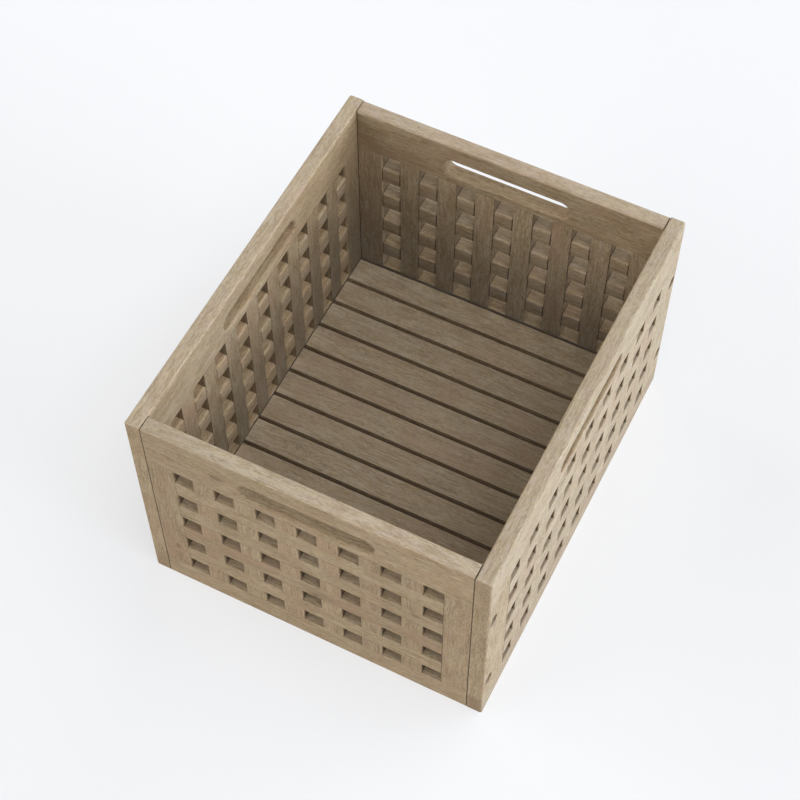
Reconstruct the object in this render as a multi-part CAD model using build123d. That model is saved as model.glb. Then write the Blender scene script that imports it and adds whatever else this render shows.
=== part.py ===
from build123d import *
import os

# Slatted teak storage bin, an open box of four framed lattice panels with a slatted floor.
# All lengths are millimetres. The origin is on the ground under the middle of the bin,
# X runs to the right along the front panel, Y runs to the back and Z runs up.

# Whole bin
bin_width = 422.0
bin_length = 505.2
bin_height = 311.0
panel_thickness = 19.0

# Rails along the top and the bottom of each panel
top_rail_height = 62.0
bottom_rail_height = 33.0
rim_radius = 3.0
corner_radius = 2.5
seam_radius = 1.0
rail_outer_edge_radius = 0.25
rail_inner_edge_radius = 0.8

# Stiles, the uprights at the two ends of each panel
stile_face_width = 32.0
stile_edge_radius = 0.8

# Lattice of uprights on the inside lapped with cross slats on the outside
slat_width = 25.0
cross_slat_count = 4
front_upright_count = 6
side_upright_count = 8
slat_outer_edge_radius = 0.5
cross_slat_inner_edge_radius = 3.0
upright_inner_edge_radius = 0.9
shoulder_radius = 0.8
outer_lap_gap = 0.1
inner_lap_gap = 0.35

# Hand slot through each top rail
hand_slot_length = 160.0
hand_slot_height = 25.0
hand_slot_drop = 38.0
hand_slot_outer_round = 3.0
hand_slot_inner_round = 4.0

# Mortise and tenon joints
stile_tenon_thickness = 8.0
stile_tenon_shoulder = 6.0
stile_top_tenon_length = 20.0
stile_bottom_tenon_length = 14.0
slat_tenon_thickness = 6.0
slat_tenon_shoulder = 3.0
cross_tenon_length = 10.0
upright_tenon_length = 6.0
joint_side_gap = 0.15
joint_end_gap = 0.5

# Floor slats and the two cleats that carry them
floor_slat_count = 12
floor_slat_gap = 3.7
floor_slat_thickness = 12.0
floor_slat_end_gap = 1.5
floor_slat_edge_radius = 1.2
cleat_width = 16.0
cleat_height = 16.0
cleat_end_gap = 1.0
cleat_edge_radius = 1.0

# Corner bolts, the brass inserts they screw into and their holes. The inset runs from the
# ends of the side panels to the middle of the bolt.
bolt_inset = 12.0
bolt_diameter = 6.0
bolt_head_diameter = 12.0
bolt_head_thickness = 2.5
bolt_socket_width = 4.0
bolt_socket_depth = 1.8
bolt_reach = 18.0
bolt_hole_spare = 2.0
counterbore_diameter = 16.5
counterbore_depth = 8.0
insert_diameter = 9.0
insert_length = 13.0
hole_gap = 0.1

# Dowels that line up the rail ends
dowel_diameter = 8.0
dowel_in_side = 10.0
dowel_in_end = 20.0
dowel_chamfer = 1.0
top_dowel_drop = 31.0
bottom_dowel_height = 9.0

# Countersunk wood screws of the floor
screw_diameter = 4.0
screw_head_diameter = 8.0
screw_head_height = 2.4
screw_tip_length = 4.0
screw_tip_diameter = 0.8
screw_cross_length = 4.0
screw_cross_width = 0.9
screw_cross_depth = 1.4
cleat_screw_length = 30.0
cleat_screw_count = 3
slat_screw_length = 25.0

# How far a cutter runs past the face that it opens
overrun = 1.0

# Sizes that follow from the ones above
inner_width = bin_width - 2 * panel_thickness
inner_length = bin_length - 2 * panel_thickness
opening_height = bin_height - top_rail_height - bottom_rail_height
lap_depth = panel_thickness / 2
floor_top = bottom_rail_height
cleat_top = floor_top - floor_slat_thickness
cleat_bottom = cleat_top - cleat_height
floor_slat_width = (inner_length - (floor_slat_count + 1) * floor_slat_gap) / floor_slat_count
floor_slat_pitch = floor_slat_width + floor_slat_gap
floor_slat_length = inner_width - 2 * floor_slat_end_gap


# One panel of the bin. Its own frame has X along the panel with 0 in the middle,
# Y from the outer face (0) to the inner face, and Z up from the ground.
class Panel:
    def __init__(self, name, length, stile_width, upright_count, place, end_names, end_radii):
        self.name = name
        self.length = length
        self.stile_width = stile_width
        self.upright_count = upright_count
        self.place = place
        self.end_names = end_names
        self.outer_end, self.top_end = end_radii


def make_panels():
    half_width = bin_width / 2
    half_length = bin_length / 2
    side_stile = panel_thickness + stile_face_width
    front_place = Pos(0, -half_length, 0)
    back_place = Pos(0, half_length, 0) * Rot(0, 0, 180)
    left_place = Pos(-half_width, 0, 0) * Rot(0, 0, -90)
    right_place = Pos(half_width, 0, 0) * Rot(0, 0, 90)
    return [
        Panel("front", inner_width, stile_face_width, front_upright_count, front_place,
              ("left", "right"), (seam_radius, seam_radius)),
        Panel("back", inner_width, stile_face_width, front_upright_count, back_place,
              ("right", "left"), (seam_radius, seam_radius)),
        Panel("left", bin_length, side_stile, side_upright_count, left_place,
              ("back", "front"), (corner_radius, rim_radius)),
        Panel("right", bin_length, side_stile, side_upright_count, right_place,
              ("front", "back"), (corner_radius, rim_radius)),
    ]


# Centres of equal bars that stand in a space with equal holes between and beside them
def even_centres(count, bar, space):
    hole = (space - count * bar) / (count + 1)
    return [(hole + bar) * (i + 1) - bar / 2 - space / 2 for i in range(count)]


def upright_centres(panel):
    return even_centres(panel.upright_count, slat_width, panel.length - 2 * panel.stile_width)


def cross_centres():
    middle = bottom_rail_height + opening_height / 2
    return [middle + z for z in even_centres(cross_slat_count, slat_width, opening_height)]


def floor_slat_centres():
    return even_centres(floor_slat_count, floor_slat_width, inner_length)


# A rectangle from 0 to width and 0 to height whose four corners have their own radii,
# in the order low left, low right, high right, high left
def rounded_outline(width, height, radii):
    outline = Pos(width / 2, height / 2) * Rectangle(width, height)
    turns = ((-1, -1), (1, -1), (1, 1), (-1, 1))
    for (turn_x, turn_y), radius in zip(turns, radii):
        if radius > 0:
            corner = outline.vertices().sort_by(lambda v: v.X * turn_x + v.Y * turn_y)[-1]
            outline = fillet(corner, radius)
    return outline


# A bar along X with a Y-Z section whose corners are outer low, inner low, inner high, outer high
def bar_along_x(start, length, height, base, radii):
    section = Plane.YZ * rounded_outline(panel_thickness, height, radii)
    return Pos(start, 0, base) * extrude(section, amount=length)


# A bar along Z with an X-Y section whose corners are outer start, outer end, inner end, inner start
def bar_along_z(start, width, base, length, radii):
    section = rounded_outline(width, panel_thickness, radii)
    return Pos(start, 0, base) * extrude(section, amount=length)


# A box given by its lowest corner and its size
def block(x, y, z, x_size, y_size, z_size):
    return Pos(x + x_size / 2, y + y_size / 2, z + z_size / 2) * Box(x_size, y_size, z_size)


# A tenon in the middle of the panel's thickness, or its mortise when gaps are given
def tenon(x, z, x_size, thickness, z_size, side_gap=0, low_gap=0, high_gap=0, x_gap=None):
    x_gap = side_gap if x_gap is None else x_gap
    return block(
        x - x_gap,
        (panel_thickness - thickness) / 2 - side_gap,
        z - low_gap,
        x_size + 2 * x_gap,
        thickness + 2 * side_gap,
        z_size + low_gap + high_gap,
    )


# An upright board between the rails, whose inner edges at the rails are eased
def board_between_rails(start, width, radii):
    board = bar_along_z(start, width, bottom_rail_height, opening_height, radii)
    side_radii = (0, shoulder_radius, shoulder_radius, 0)
    return board & bar_along_x(start, width, opening_height, bottom_rail_height, side_radii)


# The plan outline of a whole rail, with the seam or corner radii at its two ends
def rail_ends(panel, height, base):
    radii = (panel.outer_end, panel.outer_end, seam_radius, seam_radius)
    return bar_along_z(-panel.length / 2, panel.length, base, height, radii)


# The face outline of a top rail, whose upper end edges are rounded like the rim or the seam
def rail_face(panel, height, base):
    outline = rounded_outline(panel.length, height, (0, 0, panel.top_end, panel.top_end))
    face = extrude(Plane.XZ * outline, amount=-panel_thickness)
    return Pos(-panel.length / 2, 0, base) * face


# The stile's tenons in the panel's frame, grown into mortises when gaps are given
def stile_tenon(panel, end, top, side_gap=0, end_gap=0):
    start = end * (panel.length / 2 - panel.stile_width / 2) - panel.stile_width / 2
    width = panel.stile_width - 2 * stile_tenon_shoulder
    x = start + stile_tenon_shoulder
    if top:
        base = bottom_rail_height + opening_height
        return tenon(x, base, width, stile_tenon_thickness, stile_top_tenon_length,
                     side_gap, 0, end_gap)
    base = bottom_rail_height - stile_bottom_tenon_length
    return tenon(x, base, width, stile_tenon_thickness, stile_bottom_tenon_length,
                 side_gap, end_gap, 0)


# The tenons at the top or the bottom of an upright slat
def upright_tenon(centre, top, side_gap=0, end_gap=0):
    width = slat_width - 2 * slat_tenon_shoulder
    x = centre - width / 2
    if top:
        base = bottom_rail_height + opening_height
        return tenon(x, base, width, slat_tenon_thickness, upright_tenon_length,
                     side_gap, 0, end_gap)
    base = bottom_rail_height - upright_tenon_length
    return tenon(x, base, width, slat_tenon_thickness, upright_tenon_length,
                 side_gap, end_gap, 0)


# The tenons of a cross slat, which reach into the stile at one end
def cross_tenon(panel, end, centre, side_gap=0, end_gap=0):
    height = slat_width - 2 * slat_tenon_shoulder
    shoulder = end * (panel.length / 2 - panel.stile_width)
    middle = shoulder + end * cross_tenon_length / 2
    x = middle - cross_tenon_length / 2
    return tenon(x, centre - height / 2, cross_tenon_length, slat_tenon_thickness, height,
                 side_gap, side_gap, side_gap, end_gap)


# The stadium-shaped hand slot, with its edges rounded over, more on the inner face
def cut_hand_slot(rail):
    outline = SlotOverall(hand_slot_length, hand_slot_height)
    depth = panel_thickness + 2 * overrun
    cutter = extrude(Plane.XZ * outline, amount=depth / 2, both=True)
    rail = rail - Pos(0, panel_thickness / 2, bin_height - hand_slot_drop) * cutter
    for side, radius in ((0, hand_slot_outer_round), (-1, hand_slot_inner_round)):
        face = rail.faces().filter_by(Axis.Y).sort_by(Axis.Y)[side]
        rail = fillet(face.inner_wires()[0].edges(), radius)
    return rail


def make_top_rail(panel):
    base = bin_height - top_rail_height
    radii = (rail_outer_edge_radius, rail_inner_edge_radius, rim_radius, rim_radius)
    rail = bar_along_x(-panel.length / 2, panel.length, top_rail_height, base, radii)
    rail = rail & rail_ends(panel, top_rail_height, base)
    rail = rail & rail_face(panel, top_rail_height, base)
    rail = cut_hand_slot(rail)
    for end in (-1, 1):
        rail = rail - stile_tenon(panel, end, True, joint_side_gap, joint_end_gap)
    for centre in upright_centres(panel):
        rail = rail - upright_tenon(centre, True, joint_side_gap, joint_end_gap)
    return rail


def make_bottom_rail(panel):
    outer = rail_outer_edge_radius
    inner = rail_inner_edge_radius
    radii = (outer, inner, inner, outer)
    rail = bar_along_x(-panel.length / 2, panel.length, bottom_rail_height, 0, radii)
    rail = rail & rail_ends(panel, bottom_rail_height, 0)
    for end in (-1, 1):
        rail = rail - stile_tenon(panel, end, False, joint_side_gap, joint_end_gap)
    for centre in upright_centres(panel):
        rail = rail - upright_tenon(centre, False, joint_side_gap, joint_end_gap)
    return rail


def make_stile(panel, end):
    start = end * (panel.length / 2 - panel.stile_width / 2) - panel.stile_width / 2
    if end < 0:
        radii = (panel.outer_end, stile_edge_radius, stile_edge_radius, seam_radius)
    else:
        radii = (stile_edge_radius, panel.outer_end, seam_radius, stile_edge_radius)
    stile = board_between_rails(start, panel.stile_width, radii)
    stile = stile + stile_tenon(panel, end, True) + stile_tenon(panel, end, False)
    for centre in cross_centres():
        stile = stile - cross_tenon(panel, end, centre, joint_side_gap, joint_end_gap)
    return stile


def make_cross_slat(panel, centre):
    length = panel.length - 2 * panel.stile_width
    base = centre - slat_width / 2
    outer = slat_outer_edge_radius
    inner = cross_slat_inner_edge_radius
    radii = (outer, inner, inner, outer)
    slat = bar_along_x(-length / 2, length, slat_width, base, radii)
    slat = slat + cross_tenon(panel, -1, centre) + cross_tenon(panel, 1, centre)
    for x in upright_centres(panel):
        slat = slat - block(
            x - slat_width / 2 - inner_lap_gap,
            lap_depth,
            base - overrun,
            slat_width + 2 * inner_lap_gap,
            lap_depth + overrun,
            slat_width + 2 * overrun,
        )
    return slat


def make_upright_slat(centre):
    start = centre - slat_width / 2
    outer = slat_outer_edge_radius
    inner = upright_inner_edge_radius
    slat = board_between_rails(start, slat_width, (outer, outer, inner, inner))
    slat = slat + upright_tenon(centre, True) + upright_tenon(centre, False)
    for z in cross_centres():
        slat = slat - block(
            start - overrun,
            -overrun,
            z - slat_width / 2 - outer_lap_gap,
            slat_width + 2 * overrun,
            lap_depth + overrun,
            slat_width + 2 * outer_lap_gap,
        )
    return slat


# The place of a corner fastener. Its Z axis runs inwards from the side panel's outer face,
# parallel to the front or back panel and at the inset from that panel's outer face.
def corner_place(side_x, side_y, height, inset):
    y = side_y * (bin_length / 2 - inset)
    return Pos(side_x * bin_width / 2, y, height) * Rot(0, -90 * side_x, 0)


def corners():
    return [(side_x, side_y) for side_x in (-1, 1) for side_y in (-1, 1)]


# A cylinder along Z from a start depth to an end depth
def rod(diameter, start, end):
    return Pos(0, 0, (start + end) / 2) * Cylinder(diameter / 2, end - start)


def make_bolt():
    head_top = counterbore_depth - bolt_head_thickness
    bolt = rod(bolt_head_diameter, head_top, counterbore_depth)
    bolt = bolt + rod(bolt_diameter, counterbore_depth, panel_thickness + bolt_reach)
    socket = RegularPolygon(bolt_socket_width / 2, 6, major_radius=False)
    return bolt - Pos(0, 0, head_top) * extrude(socket, amount=bolt_socket_depth)


def make_insert():
    tube = rod(insert_diameter, panel_thickness, panel_thickness + insert_length)
    bore = rod(bolt_diameter + 2 * hole_gap, panel_thickness - overrun,
               panel_thickness + insert_length + overrun)
    return tube - bore


def make_bolt_hole():
    hole = rod(counterbore_diameter, -overrun, counterbore_depth)
    hole_end = panel_thickness + bolt_reach + bolt_hole_spare
    hole = hole + rod(bolt_diameter + 2 * hole_gap, 0, hole_end)
    insert_end = panel_thickness + insert_length + hole_gap
    return hole + rod(insert_diameter + 2 * hole_gap, panel_thickness, insert_end)


def make_dowel():
    dowel = rod(dowel_diameter, panel_thickness - dowel_in_side, panel_thickness + dowel_in_end)
    return chamfer(dowel.edges().filter_by(GeomType.CIRCLE), dowel_chamfer)


def make_dowel_hole():
    start = panel_thickness - dowel_in_side - joint_end_gap
    end = panel_thickness + dowel_in_end + joint_end_gap
    return rod(dowel_diameter + 2 * hole_gap, start, end)


def bolt_heights():
    centres = cross_centres()
    return (centres[0], centres[-1])


def dowel_heights():
    return (bottom_dowel_height, bin_height - top_dowel_drop)


def dowel_inset():
    return panel_thickness / 2


# A countersunk screw along Z, head face at 0, or its hole when a gap is given
def screw_body(length, gap=0):
    head = screw_head_diameter / 2 + gap
    shank = screw_diameter / 2 + gap
    tip = screw_tip_diameter / 2 + gap
    neck = screw_head_height
    points = [
        (0, 0),
        (head, 0),
        (shank, neck),
        (shank, length - screw_tip_length),
        (tip, length + gap),
        (0, length + gap),
    ]
    half = make_face(Polyline(*points, close=True))
    return revolve(Plane.XZ * half, Axis.Z)


def make_screw(length):
    screw = screw_body(length)
    for x_size, y_size in ((screw_cross_length, screw_cross_width), (screw_cross_width, screw_cross_length)):
        screw = screw - Pos(0, 0, screw_cross_depth / 2) * Box(x_size, y_size, screw_cross_depth)
    return screw


# Screws through each cleat into the side panel, each between two floor slats
def cleat_screw_places():
    height = (cleat_top + cleat_bottom) / 2
    places = []
    for side in (-1, 1):
        x = side * (inner_width / 2 - cleat_width)
        for index in range(cleat_screw_count):
            slats_before = round((index + 0.5) * floor_slat_count / cleat_screw_count)
            y = -inner_length / 2 + floor_slat_gap / 2 + slats_before * floor_slat_pitch
            places.append((side, Pos(x, y, height) * Rot(0, 90 * side, 0)))
    return places


# Screws from under the cleats up into each end of each floor slat
def slat_screw_place(side, y):
    return Pos(side * (inner_width / 2 - cleat_width / 2), y, cleat_bottom)


def make_cleat(side):
    low_x = side * inner_width / 2 - (cleat_width if side > 0 else 0)
    length = inner_length - 2 * cleat_end_gap
    cleat = block(low_x, -length / 2, cleat_bottom, cleat_width, length, cleat_height)
    long_edges = cleat.edges().filter_by(Axis.Y).group_by(SortBy.LENGTH)[-1]
    free_edges = [edge for edge in long_edges if abs(edge.center().X) < inner_width / 2 - overrun]
    cleat = fillet(free_edges, cleat_edge_radius)
    for place_side, place in cleat_screw_places():
        if place_side == side:
            cleat = cleat - place * screw_body(cleat_screw_length, hole_gap)
    for y in floor_slat_centres():
        cleat = cleat - slat_screw_place(side, y) * screw_body(slat_screw_length, hole_gap)
    return cleat


def make_floor_slat(y):
    slat = block(-floor_slat_length / 2, y - floor_slat_width / 2, cleat_top,
                 floor_slat_length, floor_slat_width, floor_slat_thickness)
    slat = fillet(slat.edges().filter_by(Axis.X), floor_slat_edge_radius)
    for side in (-1, 1):
        slat = slat - slat_screw_place(side, y) * screw_body(slat_screw_length, hole_gap)
    return slat


# Cuts the corner holes that reach a placed rail or stile of one panel
def cut_corner_holes(piece, cutter, heights, inset, wanted):
    for side_x, side_y in corners():
        if wanted(side_x, side_y):
            for height in heights:
                piece = piece - corner_place(side_x, side_y, height, inset) * cutter
    return piece


def corner_test(panel, end_name=None):
    names_x = {"left": -1, "right": 1}
    names_y = {"front": -1, "back": 1}

    def wanted(side_x, side_y):
        for name in (panel.name, end_name):
            if names_x.get(name, side_x) != side_x or names_y.get(name, side_y) != side_y:
                return False
        return True

    return wanted


def panel_nodes(panel, bolt_hole, dowel_hole):
    nodes = {}
    name = panel.name
    low_dowel, high_dowel = dowel_heights()
    top_rail = panel.place * make_top_rail(panel)
    bottom_rail = panel.place * make_bottom_rail(panel)
    nodes[name + "_top_rail"] = cut_corner_holes(
        top_rail, dowel_hole, (high_dowel,), dowel_inset(), corner_test(panel))
    bottom_rail = cut_corner_holes(
        bottom_rail, dowel_hole, (low_dowel,), dowel_inset(), corner_test(panel))
    for side, place in cleat_screw_places():
        if name == ("left" if side < 0 else "right"):
            bottom_rail = bottom_rail - place * screw_body(cleat_screw_length, hole_gap)
    nodes[name + "_bottom_rail"] = bottom_rail
    for end, end_name in zip((-1, 1), panel.end_names):
        stile = panel.place * make_stile(panel, end)
        nodes[name + "_" + end_name + "_stile"] = cut_corner_holes(
            stile, bolt_hole, bolt_heights(), bolt_inset, corner_test(panel, end_name))
    for number, centre in enumerate(reversed(cross_centres()), start=1):
        nodes[name + "_cross_slat_" + str(number)] = panel.place * make_cross_slat(panel, centre)
    uprights = [panel.place * make_upright_slat(centre) for centre in upright_centres(panel)]
    nodes[name + "_upright_slats"] = uprights
    return nodes


def floor_nodes():
    nodes = {"left_floor_cleat": make_cleat(-1), "right_floor_cleat": make_cleat(1)}
    for number, y in enumerate(floor_slat_centres(), start=1):
        nodes["floor_slat_{:02d}".format(number)] = make_floor_slat(y)
    return nodes


def fastener_nodes():
    bolt = make_bolt()
    insert = make_insert()
    dowel = make_dowel()
    cleat_screw = make_screw(cleat_screw_length)
    slat_screw = make_screw(slat_screw_length)
    bolt_places = [
        corner_place(x, y, z, bolt_inset) for x, y in corners() for z in bolt_heights()]
    dowel_places = [
        corner_place(x, y, z, dowel_inset()) for x, y in corners() for z in dowel_heights()]
    slat_places = [slat_screw_place(side, y) for side in (-1, 1) for y in floor_slat_centres()]
    return {
        "corner_bolts": [place * bolt for place in bolt_places],
        "threaded_inserts": [place * insert for place in bolt_places],
        "corner_dowels": [place * dowel for place in dowel_places],
        "cleat_screws": [place * cleat_screw for side, place in cleat_screw_places()],
        "floor_slat_screws": [place * slat_screw for place in slat_places],
    }


def make_nodes():
    bolt_hole = make_bolt_hole()
    dowel_hole = make_dowel_hole()
    nodes = {}
    for panel in make_panels():
        nodes.update(panel_nodes(panel, bolt_hole, dowel_hole))
    nodes.update(floor_nodes())
    nodes.update(fastener_nodes())
    return nodes


def solids_of(piece):
    pieces = piece if isinstance(piece, list) else [piece]
    return [solid for one in pieces for solid in one.solids()]


os.makedirs("parts", exist_ok=True)
for node_name, piece in make_nodes().items():
    solids = solids_of(piece)
    shape = solids[0] if len(solids) == 1 else Compound(solids)
    export_step(shape, os.path.join("parts", node_name + ".step"))
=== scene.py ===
import math
import random

import bpy
from mathutils import Matrix, Vector


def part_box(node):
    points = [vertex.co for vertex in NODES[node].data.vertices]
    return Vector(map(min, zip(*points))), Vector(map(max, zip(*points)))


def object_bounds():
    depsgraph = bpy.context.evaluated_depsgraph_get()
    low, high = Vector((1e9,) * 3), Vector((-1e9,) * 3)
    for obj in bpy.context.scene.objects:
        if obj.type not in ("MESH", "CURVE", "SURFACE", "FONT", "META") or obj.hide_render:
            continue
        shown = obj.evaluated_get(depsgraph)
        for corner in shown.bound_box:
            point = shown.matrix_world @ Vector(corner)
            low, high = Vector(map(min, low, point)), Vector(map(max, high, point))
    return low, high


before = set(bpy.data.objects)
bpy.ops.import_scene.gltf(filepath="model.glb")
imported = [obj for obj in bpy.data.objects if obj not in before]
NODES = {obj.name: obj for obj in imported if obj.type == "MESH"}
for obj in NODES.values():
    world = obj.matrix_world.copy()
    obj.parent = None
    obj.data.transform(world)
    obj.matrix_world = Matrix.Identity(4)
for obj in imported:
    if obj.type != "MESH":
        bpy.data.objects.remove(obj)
CAD_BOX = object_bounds()

bl_info = {
    "name": "Slatted Teak Storage Bin",
    "version": (1, 0, 0),
    "blender": (4, 5, 0),
    "location": "3D View > Sidebar > Teak Bin",
    "description": "Finishes the boards, slats and fittings of a slatted teak storage bin and sets its stage",
    "category": "Object",
}

PANELS = ("front", "back", "left", "right")
PANEL_ENDS = {
    "front": ("left", "right"),
    "back": ("left", "right"),
    "left": ("front", "back"),
    "right": ("front", "back"),
}
CROSS_SLATS = 4
UPRIGHT_SLATS = {"front": 6, "back": 6, "left": 8, "right": 8}
FLOOR_SLATS = 12
CROSS_SLAT_TENON = 0.010
UPRIGHT_SLAT_TENON = 0.006

ALONG_X = Vector((1, 0, 0))
ALONG_Y = Vector((0, 1, 0))
ALONG_Z = Vector((0, 0, 1))
OUTWARD = {"front": -ALONG_Y, "back": ALONG_Y, "left": -ALONG_X, "right": ALONG_X}

# What sets one board apart from the next. Tone is a factor on its brightness, and fade is the share
# of it that one end gains and the other end loses. Pinkness runs from yellow-grey at 0 to
# pink-brown at 1. Pith is the direction in degrees of the log's centre seen in the board's end, 0
# along its width and 90 through its thickness. A knot is its place along and across the board and
# its size, in metres. The other keys are shares that stand in for those of board_look.
LOOKS = {
    "front_top_rail": {
        "tone": 1.0, "pinkness": 0.35, "pith": 25, "knot": (-0.105, 0.002, 0.007), "fade": 0.06,
    },
    "front_bottom_rail": {"tone": 1.02, "pinkness": 0.3, "pith": 35},
    "front_left_stile": {"tone": 0.93, "pinkness": 0.75, "pith": 55, "knot": (-0.07, 0.003, 0.006)},
    "front_right_stile": {"tone": 0.97, "pinkness": 0.55, "pith": 20},
    "front_cross_slat_1": {"tone": 1.02, "pinkness": 0.25, "pith": 30},
    "front_cross_slat_2": {"tone": 0.96, "pinkness": 0.4, "pith": 62, "knot": (0.128, -0.004, 0.006)},
    "front_cross_slat_3": {"tone": 0.92, "pinkness": 0.95, "pith": 48, "knot": (0.006, 0.008, 0.005)},
    "front_cross_slat_4": {"tone": 1.01, "pinkness": 0.3, "pith": 40},
    "left_front_stile": {"tone": 1.0, "pinkness": 0.3, "pith": 40},
    "right_front_stile": {"tone": 0.985, "pinkness": 0.2, "pith": 70, "side_bleach": 0.4, "fade": -0.02},
    "back_top_rail": {
        "tone": 1.0, "pinkness": 0.5, "pith": 65, "knot": (-0.062, 0.004, 0.008), "fade": 0.04,
        "side_bleach": 0.25, "sill_recess": 0.0,
    },
    "right_top_rail": {"tone": 0.99, "pinkness": 0.3, "pith": 30, "end_grain": 0.35},
    "left_top_rail": {"tone": 1.05, "pinkness": 0.35, "pith": 38, "recess": 0.35, "upward_bleach": 0.85},
    "left_bottom_rail": {"tone": 0.95, "pinkness": 0.35, "pith": 45},
    "right_bottom_rail": {"tone": 0.865, "pinkness": 0.7, "pith": 52, "sill_recess": 0.25},
    "back_cross_slat_3": {"tone": 1.08, "pinkness": 0.4, "pith": 40},
    "left_cross_slat_3": {"tone": 1.05, "pinkness": 0.4, "pith": 35},
    "left_cross_slat_4": {"tone": 1.09, "pinkness": 0.35, "pith": 50},
    "back_upright_slats": {"tone": 1.04},
    "floor_slat_11": {"tone": 0.98},
    "floor_slat_12": {"tone": 1.01},
}

# A knot too far from any board to show, and a distance from a dark line at which it doesn't show
NO_KNOT = (3.0, 3.0, 0.001)
FAR = 1.0

# Where a tint comes in and where it is full, as a height or a length along the bin. All of the bin
# lies past the second value of the first two.
ALL_HEIGHTS = (-0.2, -0.1)
ALL_LENGTHS = (0.4, 0.3)
RIM_HEIGHTS = (0.28, 0.29)

# How squarely a face looks one way, as the cosine of the angle between them, where a tint comes in
# and where it is full
SQUARE_ON = (0.5, 0.95)
END_ON = (0.6, 0.95)
DUST_HOLDS = (0.5, 0.9)
LINE_FADES_OUTWARD = (0.3, 0.6)
LINE_FADES_OFF_TOP = (0.9, 0.5)
EDGE_DIRT_HOLDS = (0.1, 0.4)

# How the bars of one row differ: the spread of their tone, the least and the spread of their
# pinkness, and how far apart their cuts through the log may lie
BAR_TONE_SPREAD = 0.12
BAR_PINKNESS_LEAST = 0.1
BAR_PINKNESS_SPREAD = 0.8
BAR_SHIFT = (31.0, 23.0, 37.0)

# Distance of the log's centre from the middle of a board
PITH_DISTANCE = 0.12
# How deep the dark lines beside an upright slat reach from its inner face
INNER_LINE_DEPTH = 0.002
# Whole pitches added to a place along a row, so that it stays above nought
SPARE_PITCHES = 20
# How dark the painted shade band on a front edge is, and how shiny the teak
EDGE_DIRT_SHARE = 0.95
TEAK_SPECULAR = 0.3

# Distances from a dark line at which it comes in and is full: where two panels meet, and on a piece
PANEL_JOINT_LINE = (0.0009, 0.0004)
PIECE_LINE = (0.0007, 0.0002)
# Depth under the bin's outer sides at which the painted shade of a recess comes in and is full
UNDER_OUTER_SIDES = (0.0004, 0.0016)
# Painted shade low inside the bin comes in over this margin inside the panels, and between these
# heights downwards
DUST_MARGIN = 0.0015
DUST_HEIGHTS = (0.26, 0.05)

# How often each pattern of the teak comes in a metre along the grain, across it and through it
WAVES = (9.0, 22.0, 22.0)
UNEVEN_RINGS = (4.0, 90.0, 90.0)
PORES = (230.0, 1500.0, 1500.0)
PATCHES = (14.0, 34.0, 34.0)
CLOUDS = (26.0, 60.0, 60.0)
MOTTLE = (45.0, 150.0, 150.0)
YELLOWING = (90.0, 210.0, 210.0)
STREAKS_ALONG = 24.0
FIBRES_ALONG = 150.0

# How far the waves bend the rings and streaks, as a swing in metres from one extreme to the other
WAVE_HEIGHT = 0.022
# Shares of a distance along the grain, across it and through it that count towards a knot and
# towards the log's centre
KNOT_STRETCH = (0.55, 1.0, 0.25)
PITH_STRETCH = (0.02, 1.0, 1.0)

KNOT_COLOUR = (0.17, 0.10, 0.06)
PORE_COLOUR = (0.15, 0.095, 0.055)
END_GRAIN_TINT = (0.84, 0.78, 0.72)
# Paler edges: rubbed wear together with a painted highlight
RUBBED_TINT = (1.16, 1.19, 1.22)

# How often the brushed lines and stains of the metal and the fibres of the dowels come in a metre,
# along each axis of the bin
BOLT_LINES = (300.0, 9000.0, 9000.0)
INSERT_LINES = (9000.0, 300.0, 300.0)
SCREW_LINES = (4000.0, 4000.0, 4000.0)
METAL_STAINS = (420.0, 420.0, 420.0)
DOWEL_FIBRES = (40.0, 900.0, 900.0)

# How far the lamps hang from the bin, and the plain colours of the studio
LIGHT_DISTANCE = 3.0
FLOOR_GLOW_COLOUR = (0.97, 0.975, 0.985)
WORLD_LIGHT = (0.03, 0.03, 0.03)
WORLD_SEEN = (0.94, 0.945, 0.955)


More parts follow.
